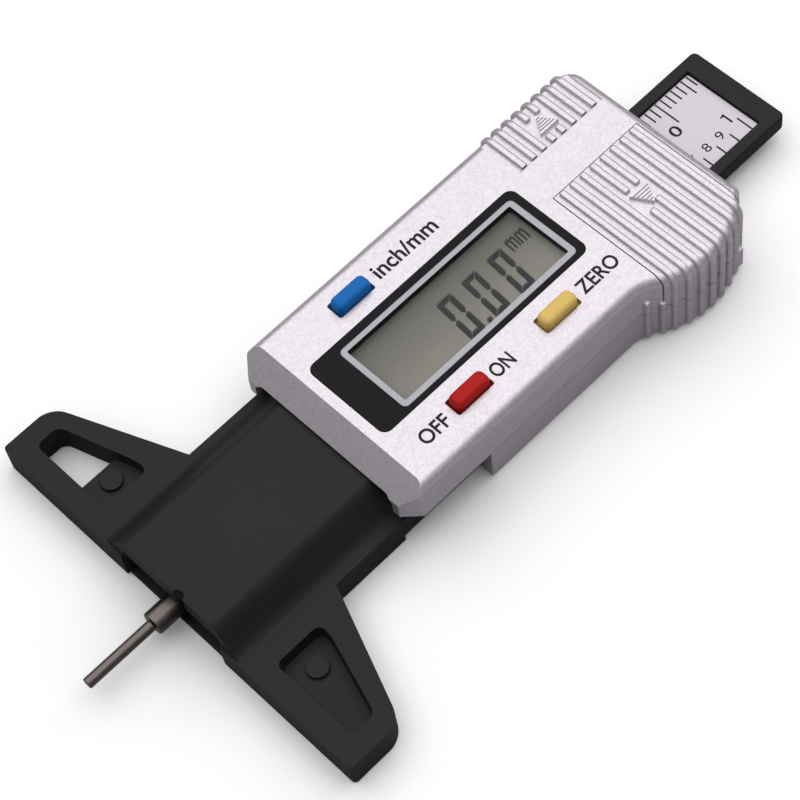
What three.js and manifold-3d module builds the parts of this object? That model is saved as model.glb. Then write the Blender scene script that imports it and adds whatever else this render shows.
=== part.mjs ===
// Digital tyre tread depth gauge. Millimetres, +Z up out of the display face.
// While it is drawn, x = 0 is the measuring face of the foot, +X runs along the ruler to its free end
// and z = 0 is the back that the gauge lies on. The finished group is moved in X only, so that its
// origin is at the middle of the bottom of its box.
import * as THREE from 'three';
import { mergeVertices } from 'three/addons/utils/BufferGeometryUtils.js';
import Module from 'manifold-3d';

const wasm = await Module();
wasm.setup();

// ---------------------------------------------------------------- driving dimensions
const CLEAR = 0.3;                 // running clearance between the fixed part and the slider
const FIT = 0.15;                  // gap round a fitted piece

const FOOT_HALF = 31.2;            // half the width of the measuring foot
const FOOT_THICK = 4.5;
const FOOT_END_LENGTH = 7.96;      // straight end of each wing, along X
const WING_ROOT_X = 15.17;         // where a wing's slanted edge meets the neck
const NECK_HALF = 13.1;
const NECK_END_X = 43.5;
const DOME_Z = 8.6;                // top of the raised middle of the neck
const DOME_HALF = 7.6;
const SHOULDER_HALF = 11.5;
const BACK_PLATE_THICK = 0.9;
const NECK_STEP_X = 26.3;          // behind this the back cover of the slider passes under the neck
const NECK_UNDER_Z = 1.1;
const NOTCH_DEPTH = 0.4;           // the face is set back between the wings, so that only they touch
const NOTCH_HALF = 8.8;
const POCKET_FLOOR_Z = 2.6;
const HOLE_START_Y = 20.6;         // the wing is cut right through beyond this
const SLOT_DEPTH = 1.6;            // the hollow under the front edge of the raised middle
const SLOT_TOP_Z = 5.8;
const CHANNEL_START_X = 14;        // lightening channel under the raised middle
const CHANNEL_HALF = 6.5;
const CHANNEL_Z = [5.9, 7.4];
const RIVET_X = 6.6;
const RIVET_Y = 18.5;
const RIVET_HEAD_RADIUS = 1.5;
const RIVET_SHANK_RADIUS = 0.9;
const RIVET_TOP_Z = 3.05;

const RULER_START_X = 31.5;
const RULER_END_X = 101.8;
const RULER_HALF = 7.9;
const RULER_BOTTOM_Z = 2.1;
const RULER_TOP_Z = 4.8;
const RECESS_START_X = 33;         // the recess along the ruler, for the sensor strip and the label
const RECESS_FLOOR_Z = 3.9;
const LABEL_START_X = 45;
const LABEL_END_X = 98.7;
const LABEL_HALF = 6.25;
const LABEL_Z = [4.13, 4.28];
const STRIP_HALF = 6;
const STRIP_Z = [3.95, 4.1];
const GROOVE_HALF = 1.1;           // the groove under the ruler, where the push rod and its clamp run
const GROOVE_END_X = 90;
const GROOVE_TOP_Z = 3.65;
const STOP_PIN_X = 100.2;
const STOP_PIN_RADIUS = 0.8;
const SCREW_HOLE_RADIUS = 1.1;
const SCREW_RADIUS = 0.9;

const NEEDLE_TIP_X = -13.6;
const NEEDLE_RADIUS = 0.75;
const HOLDER_FRONT_X = -3.1;
const HOLDER_BACK_X = 17;
const HOLDER_RADIUS = 1.6;
const NEEDLE_Z = 3.1;
const ROD_RADIUS = 0.6;
const ROD_Z = 2.95;
const ROD_END_X = 66;

const HOUSING_TOP_Z = 12.06;
const HOUSING_HALF = 15.1;
const HOUSING_FRONT_X = 26.1;
const HOUSING_REAR_X = 85.6;
const HOUSING_INNER_HALF = 13.4;
const TOP_PLATE_Z = 10.9;          // underside of the housing's top plate
const EDGE_RADIUS = 1.3;
const REAR_WALL = 1.3;
const FRONT_WALL_X = 28.2;         // inside face of the front wall
const SLOPE_START_Z = 9.1;         // the front wall leans back from this level up
const BACK_COVER_THICK = 0.8;
const BACK_COVER_HALF = 12.6;
const BACK_COVER_END_X = 83.65;
const FLOOR_Z = 0.8;               // inside floor of the lower half, beside the back cover
const PARTING_Z = 6.2;             // level where the two housing halves meet
const SKIRT_FRONT_X = 39.6;
const BULGE_X = 75.7;              // thumb grip: a drum standing out of the battery side
const BULGE_Y = -4.8;
const BULGE_RADIUS = 14.1;
const COVER_START_X = 69;
const COVER_END_X = 84.2;
const COVER_EDGE_Y = 1.9;
const DRUM_WALL = 1.4;
const LIP = { x0: 25.4, x1: 28, thick: 0.7 };

const WINDOW = { x0: 30.8, x1: 66.5, y0: -6.65, y1: 7.1 };
const BORDER = { x0: 35.1, x1: 65.3, y0: -5.8, y1: 5.9 };
const GLASS = { x0: 35.9, x1: 64.4, y0: -5.0, y1: 5.15 };
const BUTTON_HOLE = { length: 6.1, width: 2.65 };
const BUTTON_TOP_Z = 13.5;
const FLANGE_Z = [10.55, 11.05];   // the flange that keeps a button in its hole
const FLANGE_HALF = { length: 3.7, width: 1.7 };
const BUTTON_TRAVEL = 0.5;
const BUTTONS = [
  { name: 'blue', x: 41.8, y: 10.45, colour: 0x1f7fc6 },
  { name: 'red', x: 41.8, y: -10.0, colour: 0xc0231f },
  { name: 'yellow', x: 57.1, y: -10.0, colour: 0xe7c878 },
];

const BATTERY_X = 77;
const BATTERY_Y = -10.9;
const BATTERY_RADIUS = 5.8;
const BATTERY_BOTTOM_Z = 5.0;
const BATTERY_TOP_Z = 10.4;

const LCD_BOTTOM_Z = 10;
const LCD_TOP_Z = 10.85;
const LENS_Z = [11.45, 11.75];
const BOARD_BOTTOM_Z = 9.15;
const BOARD_TOP_Z = 9.65;
const SCREWS = [[59.5, 10.6], [59.5, -10.6], [81, 10.6], [81, -10.6]];
const COVER_SCREW = { head: 1.5, shank: 0.85, top: 3.7 };
const BOSS_HALF = 1.8;
const BOSS_TOP_Z = 4.4;
const RULER_SCREWS = [[37, 4.5], [37, -4.5]];

// ---------------------------------------------------------------- shapes
// Straight-sided outline with a radius at each corner: corners are [x, y, radius].
function outline(corners) {
  const shape = new THREE.Shape();
  const count = corners.length;
  corners.forEach(([x, y, radius = 0], i) => {
    const before = corners[(i + count - 1) % count];
    const after = corners[(i + 1) % count];
    const here = new THREE.Vector2(x, y);
    const towardsBefore = new THREE.Vector2(before[0] - x, before[1] - y).setLength(radius);
    const towardsAfter = new THREE.Vector2(after[0] - x, after[1] - y).setLength(radius);
    const start = here.clone().add(towardsBefore);
    const end = here.clone().add(towardsAfter);
    if (i === 0) shape.moveTo(start.x, start.y);
    else shape.lineTo(start.x, start.y);
    if (radius > 0) shape.quadraticCurveTo(x, y, end.x, end.y);
  });
  shape.closePath();
  return shape;
}

function rectangle({ x0, x1, y0, y1 }, radius = 0, grow = 0) {
  return outline([
    [x0 - grow, y0 - grow, radius],
    [x1 + grow, y0 - grow, radius],
    [x1 + grow, y1 + grow, radius],
    [x0 - grow, y1 + grow, radius],
  ]);
}

// Outline in X and Y, standing from z0 to z1.
function standing(shape, z0, z1) {
  const depth = z1 - z0;
  const geometry = new THREE.ExtrudeGeometry(shape, { depth, bevelEnabled: false, curveSegments: 4 });
  return geometry.translate(0, 0, z0);
}

// The same with its upper and lower edges broken by `edge`.
function edged(shape, z0, z1, edge, steps) {
  const geometry = new THREE.ExtrudeGeometry(shape, {
    depth: z1 - z0 - 2 * edge,
    bevelEnabled: true,
    bevelThickness: edge,
    bevelSize: edge,
    bevelOffset: -edge,
    bevelSegments: steps,
    curveSegments: 4,
  });
  return geometry.translate(0, 0, z0 + edge);
}

// Section in Y and Z, running from x0 to x1.
function running(corners, x0, x1) {
  const geometry = new THREE.ExtrudeGeometry(outline(corners), { depth: x1 - x0, bevelEnabled: false });
  const toRow = new THREE.Matrix4().makeBasis(
    new THREE.Vector3(0, 1, 0),
    new THREE.Vector3(0, 0, 1),
    new THREE.Vector3(1, 0, 0),
  );
  return geometry.applyMatrix4(toRow).translate(x0, 0, 0);
}

function block(x0, x1, y0, y1, z0, z1) {
  const geometry = new THREE.BoxGeometry(x1 - x0, y1 - y0, z1 - z0);
  return geometry.translate((x0 + x1) / 2, (y0 + y1) / 2, (z0 + z1) / 2);
}

function barAlongX(radius, x0, x1, y, z, sides = 20) {
  const geometry = new THREE.CylinderGeometry(radius, radius, x1 - x0, sides);
  return geometry.rotateZ(-Math.PI / 2).translate((x0 + x1) / 2, y, z);
}

function post(radius, x, y, z0, z1, sides = 20) {
  const geometry = new THREE.CylinderGeometry(radius, radius, z1 - z0, sides);
  return geometry.rotateX(Math.PI / 2).translate(x, y, (z0 + z1) / 2);
}

// ---------------------------------------------------------------- joining and cutting
function toSolid(geometry) {
  const bare = geometry.clone();
  bare.deleteAttribute('normal');
  bare.deleteAttribute('uv');
  const merged = mergeVertices(bare);
  return new wasm.Manifold(new wasm.Mesh({
    numProp: 3,
    vertProperties: new Float32Array(merged.attributes.position.array),
    triVerts: new Uint32Array(merged.index.array),
  }));
}

function toGeometry(solid) {
  const mesh = solid.getMesh();
  const geometry = new THREE.BufferGeometry();
  geometry.setAttribute('position', new THREE.BufferAttribute(new Float32Array(mesh.vertProperties), 3));
  geometry.setIndex(new THREE.BufferAttribute(new Uint32Array(mesh.triVerts), 1));
  geometry.computeVertexNormals();
  return geometry;
}

function build(added, cuts = []) {
  let solid = toSolid(added[0]);
  added.slice(1).forEach((geometry) => { solid = solid.add(toSolid(geometry)); });
  cuts.forEach((geometry) => { solid = solid.subtract(toSolid(geometry)); });
  return toGeometry(solid);
}

// ---------------------------------------------------------------- finishes
function finish(color, roughness, metalness) {
  return new THREE.MeshStandardMaterial({ color, roughness, metalness });
}

const blackPlastic = () => finish(0x2d2c30, 0.6, 0);
const silverPlastic = () => finish(0xe0d9e0, 0.35, 0.4);
const steel = () => finish(0xb9b7b4, 0.3, 1);
const brass = () => finish(0xc9a557, 0.35, 1);
const boardGreen = () => finish(0x1f5a3a, 0.6, 0);

const gauge = new THREE.Group();
gauge.name = 'tread_depth_gauge';
gauge.position.x = -(NEEDLE_TIP_X + RULER_END_X) / 2;

function place(name, geometry, material) {
  const mesh = new THREE.Mesh(geometry, material);
  mesh.name = name;
  gauge.add(mesh);
}

// ---------------------------------------------------------------- foot and neck
const domeSection = [
  [-SHOULDER_HALF, 3, 0],
  [SHOULDER_HALF, 3, 0],
  [SHOULDER_HALF, FOOT_THICK, 0],
  [9.6, 7.0, 0],
  [8.7, 8.1, 0],
  [DOME_HALF, DOME_Z, 0],
  [-DOME_HALF, DOME_Z, 0],
  [-8.7, 8.1, 0],
  [-9.6, 7.0, 0],
  [-SHOULDER_HALF, FOOT_THICK, 0],
];

const footOutline = outline([
  [0, -FOOT_HALF, 1.5],
  [FOOT_END_LENGTH, -FOOT_HALF, 2],
  [WING_ROOT_X, -NECK_HALF, 0],
  [NECK_END_X, -NECK_HALF, 0],
  [NECK_END_X, NECK_HALF, 0],
  [WING_ROOT_X, NECK_HALF, 0],
  [FOOT_END_LENGTH, FOOT_HALF, 2],
  [0, FOOT_HALF, 1.5],
]);

// Lightening pocket of a wing; side is +1 or -1.
const pocketOutline = (side) => outline([
  [2.9, 15 * side, 1.2],
  [10.4, 15 * side, 1.2],
  [10.4, 17 * side, 0.6],
  [6.7, 28.8 * side, 1.4],
  [2.9, 28.8 * side, 1.4],
]);

const holeOutline = outline([
  [2.9, HOLE_START_Y, 0],
  [9.27, HOLE_START_Y, 0],
  [6.7, 28.8, 1.4],
  [2.9, 28.8, 1.4],
]);

const backPlateOutline = (gap) => outline([
  [3.4 - gap, -19.8 - gap],
  [9.9 + gap, -19.8 - gap],
  [9.9 + gap, -9 - gap],
  [24.5 + gap, -9 - gap],
  [24.5 + gap, 9 + gap],
  [9.9 + gap, 9 + gap],
  [9.9 + gap, 19.8 + gap],
  [3.4 - gap, 19.8 + gap],
]);

function footAndNeck() {
  const added = [
    edged(footOutline, 0, FOOT_THICK, 0.5, 1),
    running(domeSection, 0, NECK_END_X),
  ];
  const cuts = [
    block(-1, NOTCH_DEPTH, -NOTCH_HALF, NOTCH_HALF, -1, DOME_Z + 1),
    block(0, SLOT_DEPTH, -NOTCH_HALF + 0.4, NOTCH_HALF - 0.4, BACK_PLATE_THICK, SLOT_TOP_Z),
    barAlongX(HOLDER_RADIUS + 0.35, 0, RULER_START_X, 0, NEEDLE_Z, 24),
    block(RULER_START_X - CLEAR, NECK_END_X + 1, -RULER_HALF - FIT, RULER_HALF + FIT, RULER_BOTTOM_Z - 0.25,
      RULER_TOP_Z + 0.25),
    block(NECK_STEP_X, NECK_END_X + 1, -20, 20, -1, NECK_UNDER_Z),
    block(CHANNEL_START_X, NECK_END_X + 1, -CHANNEL_HALF, CHANNEL_HALF, ...CHANNEL_Z),
    standing(pocketOutline(1), POCKET_FLOOR_Z, 6),
    standing(pocketOutline(-1), POCKET_FLOOR_Z, 6),
    standing(holeOutline, -1, POCKET_FLOOR_Z + 0.5),
    standing(backPlateOutline(FIT), -1, BACK_PLATE_THICK + 0.1),
  ];
  [1, -1].forEach((side) => {
    cuts.push(post(RIVET_SHANK_RADIUS + 0.2, RIVET_X, RIVET_Y * side, 0.5, POCKET_FLOOR_Z + 0.5));
  });
  RULER_SCREWS.forEach(([x, y]) => cuts.push(post(SCREW_HOLE_RADIUS, x, y, 0.5, 2.5)));
  return build(added, cuts);
}

function rivet(side) {
  const head = post(RIVET_HEAD_RADIUS, RIVET_X, RIVET_Y * side, POCKET_FLOOR_Z + 0.05, RIVET_TOP_Z);
  const shank = post(RIVET_SHANK_RADIUS, RIVET_X, RIVET_Y * side, BACK_PLATE_THICK + 0.05, 2.8);
  return build([head, shank]);
}

place('foot_and_neck', footAndNeck(), blackPlastic());
place('foot_back_plate', standing(backPlateOutline(0), 0, BACK_PLATE_THICK), blackPlastic());
place('rivet_left', rivet(1), blackPlastic());
place('rivet_right', rivet(-1), blackPlastic());

// ---------------------------------------------------------------- ruler
function rulerBeam() {
  const plan = rectangle({ x0: RULER_START_X, x1: RULER_END_X, y0: -RULER_HALF, y1: RULER_HALF }, 0.6);
  const cuts = [
    block(RECESS_START_X, LABEL_END_X, -LABEL_HALF, LABEL_HALF, RECESS_FLOOR_Z, 6),
    block(RULER_START_X - 1, GROOVE_END_X, -GROOVE_HALF, GROOVE_HALF, 0, GROOVE_TOP_Z),
  ];
  RULER_SCREWS.forEach(([x, y]) => cuts.push(post(SCREW_HOLE_RADIUS, x, y, 0, 3.4)));
  cuts.push(post(STOP_PIN_RADIUS + FIT, STOP_PIN_X, 0, 1, 3));
  return build([standing(plan, RULER_BOTTOM_Z, RULER_TOP_Z)], cuts);
}

place('ruler_beam', rulerBeam(), blackPlastic());
const strip = block(RECESS_START_X + 0.2, LABEL_END_X - 0.2, -STRIP_HALF, STRIP_HALF, ...STRIP_Z);
const label = block(LABEL_START_X, LABEL_END_X - FIT, -LABEL_HALF + FIT, LABEL_HALF - FIT, ...LABEL_Z);
place('sensor_strip', strip, boardGreen());
place('scale_label', label, finish(0xddd5dc, 0.5, 0));
place('travel_stop_pin', post(STOP_PIN_RADIUS, STOP_PIN_X, 0, 0.6, 2.9), steel());
RULER_SCREWS.forEach(([x, y], i) => {
  place(`ruler_screw_${i + 1}`, post(SCREW_RADIUS, x, y, NECK_UNDER_Z + 0.1, 3.3), steel());
});

// ---------------------------------------------------------------- needle
place('needle', barAlongX(NEEDLE_RADIUS, NEEDLE_TIP_X, HOLDER_FRONT_X - 0.05, 0, NEEDLE_Z), steel());
place('needle_holder', barAlongX(HOLDER_RADIUS, HOLDER_FRONT_X, HOLDER_BACK_X, 0, NEEDLE_Z, 24), steel());
place('push_rod', barAlongX(ROD_RADIUS, HOLDER_BACK_X + 0.05, ROD_END_X, 0, ROD_Z, 12), steel());
place('rod_clamp', block(60, ROD_END_X, -0.8, 0.8, BACK_COVER_THICK + 0.1, 2.3), brass());

// ---------------------------------------------------------------- slider housing
// Plan of the housing from `front` to its rear end, with the drum of the thumb grip on the -Y side.
function housingPlan(front, frontCorners) {
  const meets = Math.sqrt(BULGE_RADIUS ** 2 - (HOUSING_HALF + BULGE_Y) ** 2);
  const rear = HOUSING_REAR_X - BULGE_X;
  const rearAngle = -Math.acos(rear / BULGE_RADIUS);
  const sideAngle = Math.atan2(-HOUSING_HALF - BULGE_Y, -meets);
  const shape = new THREE.Shape();
  shape.moveTo(HOUSING_REAR_X, HOUSING_HALF - 2.6);
  shape.quadraticCurveTo(HOUSING_REAR_X, HOUSING_HALF, HOUSING_REAR_X - 2.6, HOUSING_HALF);
  if (frontCorners) {
    shape.lineTo(front + 1.6, HOUSING_HALF);
    shape.lineTo(front, HOUSING_HALF - 2);
    shape.lineTo(front, -HOUSING_HALF + 2);
    shape.lineTo(front + 1.6, -HOUSING_HALF);
  } else {
    shape.lineTo(front, HOUSING_HALF);
    shape.lineTo(front, -HOUSING_HALF);
  }
  shape.absarc(BULGE_X, BULGE_Y, BULGE_RADIUS, sideAngle, rearAngle, false);
  shape.closePath();
  return shape;
}

// Space inside the drum, clear of the battery.
const drumBore = (z0, z1) => post(BULGE_RADIUS - DRUM_WALL, BULGE_X, BULGE_Y, z0, z1, 32);
const coverZone = (gap) => block(COVER_START_X - gap, COVER_END_X + gap, -21, COVER_EDGE_Y + gap, 5, 14);

function archSection(grow) {
  const side = [[10.6, 6.0], [10.05, 7.0], [9.1, 8.3], [7.9, 8.9]];
  const right = side.map(([y, z]) => [y + grow, z < 6.5 ? z - 1 : z + grow, 0]);
  const left = right.map(([y, z]) => [-y, z, 0]).reverse();
  return [...right, ...left];
}

function frontSlope() {
  const wedge = new THREE.Shape();
  wedge.moveTo(20, 14);
  wedge.lineTo(20, SLOPE_START_Z);
  wedge.lineTo(HOUSING_FRONT_X + 0.3, SLOPE_START_Z);
  wedge.lineTo(HOUSING_FRONT_X + 3.1, 14);
  wedge.closePath();
  const geometry = new THREE.ExtrudeGeometry(wedge, { depth: 60, bevelEnabled: false });
  return geometry.rotateX(Math.PI / 2).translate(0, 30, 0);
}

function upperHousing() {
  const shell = edged(housingPlan(HOUSING_FRONT_X, true), PARTING_Z - 4, HOUSING_TOP_Z, EDGE_RADIUS, 3);
  const cuts = [
    block(0, 100, -30, 30, -1, PARTING_Z + 0.05),
    block(FRONT_WALL_X, HOUSING_REAR_X - REAR_WALL, -HOUSING_INNER_HALF, HOUSING_INNER_HALF, 5, TOP_PLATE_Z),
    coverZone(FIT),
    running(archSection(0.85), 20, 30),
    frontSlope(),
    standing(rectangle(WINDOW, 1.2), 10, 14),
  ];
  BUTTONS.forEach(({ x, y }) => {
    const { length, width } = BUTTON_HOLE;
    cuts.push(block(x - length / 2, x + length / 2, y - width / 2, y + width / 2, 10, 14));
    cuts.push(block(x - 4.1, x + 4.1, y - 2.0, y + 2.0, 10, 11.2));
  });
  return build([shell], cuts);
}

function lowerHousing() {
  const shell = edged(housingPlan(SKIRT_FRONT_X, false), 0, PARTING_Z + 3, 0.6, 1);
  const hollow = block(30, HOUSING_REAR_X - REAR_WALL, -HOUSING_INNER_HALF, HOUSING_INNER_HALF, FLOOR_Z, 10);
  let solid = toSolid(shell).subtract(toSolid(hollow));
  solid = solid.subtract(toSolid(drumBore(1.4, 10)).intersect(toSolid(block(70, 84.3, -21, 0, 1, 10))));
  SCREWS.forEach(([x, y]) => {
    const side = Math.sign(y);
    const inner = 9.2 * side;
    const outer = (HOUSING_INNER_HALF + 0.6) * side;
    const reach = x > 70 && side < 0 ? -17.4 : outer;
    const [y0, y1] = [Math.min(inner, reach), Math.max(inner, reach)];
    solid = solid.add(toSolid(block(x - BOSS_HALF, x + BOSS_HALF, y0, y1, 1, BOSS_TOP_Z)));
  });
  const cuts = [
    block(0, 100, -30, 30, PARTING_Z - 0.05, 12),
    block(84, 87, -RULER_HALF - CLEAR, RULER_HALF + CLEAR, RULER_BOTTOM_Z - CLEAR, RULER_TOP_Z + CLEAR),
    block(30, 83.8, -BACK_COVER_HALF - FIT, BACK_COVER_HALF + FIT, -1, BACK_COVER_THICK + 0.1),
  ];
  SCREWS.forEach(([x, y]) => cuts.push(post(1.05, x, y, 1, 3.9, 16)));
  cuts.forEach((geometry) => { solid = solid.subtract(toSolid(geometry)); });
  return toGeometry(solid);
}

function backCover() {
  const half = BACK_COVER_HALF;
  const plan = rectangle({ x0: SKIRT_FRONT_X - 0.8, x1: BACK_COVER_END_X, y0: -half, y1: half }, 1);
  const holes = SCREWS.map(([x, y]) => post(COVER_SCREW.head + 0.25, x, y, -1, 2));
  return build([standing(plan, 0, BACK_COVER_THICK)], holes);
}

function coverScrew([x, y]) {
  const { head, shank, top } = COVER_SCREW;
  return build([post(head, x, y, 0.1, 0.8, 16), post(shank, x, y, 0.7, top, 12)]);
}

place('upper_housing', upperHousing(), silverPlastic());
place('lower_housing', lowerHousing(), silverPlastic());
place('back_cover', backCover(), blackPlastic());
SCREWS.forEach((position, i) => place(`cover_screw_${i + 1}`, coverScrew(position), steel()));
place('front_trim', build([running(archSection(LIP.thick), LIP.x0, LIP.x1)], [
  running(archSection(0), 20, 30),
  block(20, 30, -20, 20, 0, PARTING_Z + 0.1),
]), blackPlastic());
place('gib_spring', block(62, 80, 8.3, 8.7, 2.2, 4.3), steel());

// ---------------------------------------------------------------- battery side
function batteryCover() {
  const shell = edged(housingPlan(HOUSING_FRONT_X, true), PARTING_Z - 4, HOUSING_TOP_Z, EDGE_RADIUS, 3);
  let solid = toSolid(shell).intersect(toSolid(coverZone(0)));
  [
    block(0, 100, -30, 30, -1, PARTING_Z + 0.1),
    drumBore(5, TOP_PLATE_Z),
    block(COVER_START_X - 1, COVER_END_X + 1, -13, 5, 5, TOP_PLATE_Z),
  ].forEach((geometry) => { solid = solid.subtract(toSolid(geometry)); });
  [[69.2, 70.9], [83.1, 84.1]].forEach(([x0, x1]) => {
    solid = solid.add(toSolid(block(x0, x1, 0.4, 1.8, 10.2, 11.2)));
    solid = solid.add(toSolid(block(x0, x1, 1.7, 3, 10.2, 10.7)));
  });
  return toGeometry(solid);
}

place('battery_cover', batteryCover(), silverPlastic());
place('battery', build([
  post(BATTERY_RADIUS, BATTERY_X, BATTERY_Y, BATTERY_BOTTOM_Z + 0.4, BATTERY_TOP_Z, 32),
  post(BATTERY_RADIUS - 1, BATTERY_X, BATTERY_Y, BATTERY_BOTTOM_Z, BATTERY_BOTTOM_Z + 1, 32),
]), steel());
place('battery_contact_bottom', block(74, 79, -15, -9, 4.6, 4.85), brass());
place('battery_contact_side', block(74, 80, -4.9, -4.7, 5.3, 10), brass());

// ---------------------------------------------------------------- window and display
place('window_bezel', build(
  [standing(rectangle(WINDOW, 1.1, -FIT), TOP_PLATE_Z + 0.05, HOUSING_TOP_Z)],
  [standing(rectangle(BORDER, 0.6, FIT), 10, 14)],
), blackPlastic());
place('window_border', build(
  [standing(rectangle(BORDER, 0.5), TOP_PLATE_Z + 0.1, HOUSING_TOP_Z + 0.04)],
  [standing(rectangle(GLASS), 10, 14)],
), finish(0xb5b4b8, 0.3, 0.6));
place('window_lens', standing(rectangle(GLASS, 0, -0.1), ...LENS_Z), finish(0xffffff, 0.05, 0));
place('lcd_glass', block(35.3, 65.1, -6.2, 6.3, LCD_BOTTOM_Z, LCD_TOP_Z), finish(0x7c7a72, 0.2, 0));
place('lcd_connector', block(38, 62, -6.1, -5.2, 9.7, 9.95), finish(0x4a4a50, 0.8, 0));

// ---------------------------------------------------------------- boards
place('main_board', block(29.5, 67.5, -12.8, 12.8, BOARD_BOTTOM_Z, BOARD_TOP_Z), boardGreen());
place('read_head_board', block(57, 68.5, -7.5, 7.5, 5.2, 5.8), boardGreen());
place('board_link', block(65, 66.5, -3, 3, 5.85, BOARD_BOTTOM_Z - 0.05), blackPlastic());

// ---------------------------------------------------------------- buttons
function buttonCap({ x, y }) {
  const { length, width } = BUTTON_HOLE;
  const cap = rectangle({
    x0: x - length / 2 + 0.25,
    x1: x + length / 2 - 0.25,
    y0: y - width / 2 + 0.22,
    y1: y + width / 2 - 0.22,
  }, 0.8);
  const reach = FLANGE_HALF;
  const flange = block(x - reach.length, x + reach.length, y - reach.width, y + reach.width, ...FLANGE_Z);
  return build([edged(cap, 10.2, BUTTON_TOP_Z, 0.35, 2), flange], [block(30, 70, -20, 20, 9, FLANGE_Z[0])]);
}

BUTTONS.forEach((button) => {
  const switchTop = FLANGE_Z[0] - BUTTON_TRAVEL - 0.05;
  place(`switch_${button.name}`, post(1.6, button.x, button.y, BOARD_TOP_Z + 0.05, switchTop, 16), steel());
  place(`button_${button.name}`, buttonCap(button), finish(button.colour, 0.45, 0));
});

export default gauge;
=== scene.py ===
# A pocket digital tyre tread depth gauge, lying on its back: a black T-shaped foot and ruler, moulded in
# ABS, on which a silver-lacquered slider with a display carries the steel needle through the foot.
# The pieces are built in the order that they are put together, in millimetres from the foot's face.
import math

import bmesh
import bpy
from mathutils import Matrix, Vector


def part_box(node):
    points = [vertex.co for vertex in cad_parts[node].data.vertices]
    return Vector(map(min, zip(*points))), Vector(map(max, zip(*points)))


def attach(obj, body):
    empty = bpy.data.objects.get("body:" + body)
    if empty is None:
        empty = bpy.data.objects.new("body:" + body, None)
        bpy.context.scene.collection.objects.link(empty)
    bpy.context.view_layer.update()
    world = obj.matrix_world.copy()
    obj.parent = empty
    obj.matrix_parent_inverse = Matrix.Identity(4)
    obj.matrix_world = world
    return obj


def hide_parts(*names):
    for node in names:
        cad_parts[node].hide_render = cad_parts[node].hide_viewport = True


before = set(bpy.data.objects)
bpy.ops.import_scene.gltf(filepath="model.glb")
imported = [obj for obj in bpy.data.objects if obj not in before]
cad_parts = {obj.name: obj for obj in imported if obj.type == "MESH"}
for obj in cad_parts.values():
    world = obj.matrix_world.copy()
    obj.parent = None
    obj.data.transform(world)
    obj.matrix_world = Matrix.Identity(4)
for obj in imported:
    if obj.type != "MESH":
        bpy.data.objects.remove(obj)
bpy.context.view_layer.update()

# ------------------------------------------------------------------ camera and studio
# A camera on a long lens looks down at the display from the needle's side. The gauge lies on a white
# table under one large overhead softbox; the room is darker towards the horizon, as satin metal shows.
FACE_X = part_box("foot_and_neck")[0].x

camera = bpy.data.objects.new("camera", bpy.data.cameras.new("camera"))
bpy.context.scene.collection.objects.link(camera)
camera.data.lens = 113.07
camera.data.sensor_width = 36
camera.data.clip_start = 0.01
camera.location = (FACE_X - 0.05308, -0.12977, 0.27131)
camera.rotation_euler = [math.radians(angle) for angle in (30.155, 5.601, -44.794)]
bpy.context.scene.camera = camera
bpy.context.scene.view_settings.view_transform = "Standard"


def linear(hex_colour):
    """An sRGB hex colour as the linear colour that shaders take."""
    parts = [int(hex_colour[i:i + 2], 16) / 255 for i in (1, 3, 5)]
    return [c / 12.92 if c < 0.04045 else ((c + 0.055) / 1.055) ** 2.4 for c in parts] + [1]


def node(tree, kind, settings=None, **sockets):
    """Adds one shader node: settings are its own properties, sockets are values or links by input name."""
    new = tree.nodes.new(kind)
    for key, value in (settings or {}).items():
        setattr(new, key, value)
    for key, value in sockets.items():
        socket = new.inputs[int(key[1:])] if key[0] == "_" else new.inputs[key.replace("_", " ")]
        if isinstance(value, bpy.types.NodeSocket):
            tree.links.new(value, socket)
        else:
            socket.default_value = value
    return new


def softbox(name, place, aim, width, depth, power):
    light = bpy.data.objects.new(name, bpy.data.lights.new(name, "AREA"))
    bpy.context.scene.collection.objects.link(light)
    light.data.shape = "RECTANGLE"
    light.data.size = width
    light.data.size_y = depth
    light.data.energy = power
    light.location = place
    light.rotation_euler = (Vector(aim) - Vector(place)).to_track_quat("-Z", "Y").to_euler()


softbox("overhead softbox", (0.15, 0.20, 0.85), (0, 0, 0), 1.7, 1.5, 9.0)
softbox("side softbox", (0.75, -0.1, 0.40), (0, 0, 0), 0.3, 0.3, 0.5)

world = bpy.data.worlds.new("studio")
bpy.context.scene.world = world
world.use_nodes = True
room = world.node_tree
room.nodes.clear()
height = node(room, "ShaderNodeSeparateXYZ", Vector=node(room, "ShaderNodeTexCoord").outputs["Generated"])
shade = node(room, "ShaderNodeValToRGB", Fac=height.outputs["Z"])
shade.color_ramp.elements[0].position = 0.05
shade.color_ramp.elements[0].color = linear("#6b696c")
shade.color_ramp.elements[1].position = 0.75
shade.color_ramp.elements[1].color = linear("#ffffff")
glow = node(room, "ShaderNodeBackground", Color=shade.outputs["Color"], Strength=0.6)
node(room, "ShaderNodeOutputWorld", Surface=glow.outputs["Background"])

bpy.ops.object.select_all(action="DESELECT")
bpy.ops.mesh.primitive_plane_add(size=40, location=(0, 0, -0.0002))
table = bpy.context.object
table.name = "table"
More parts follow.
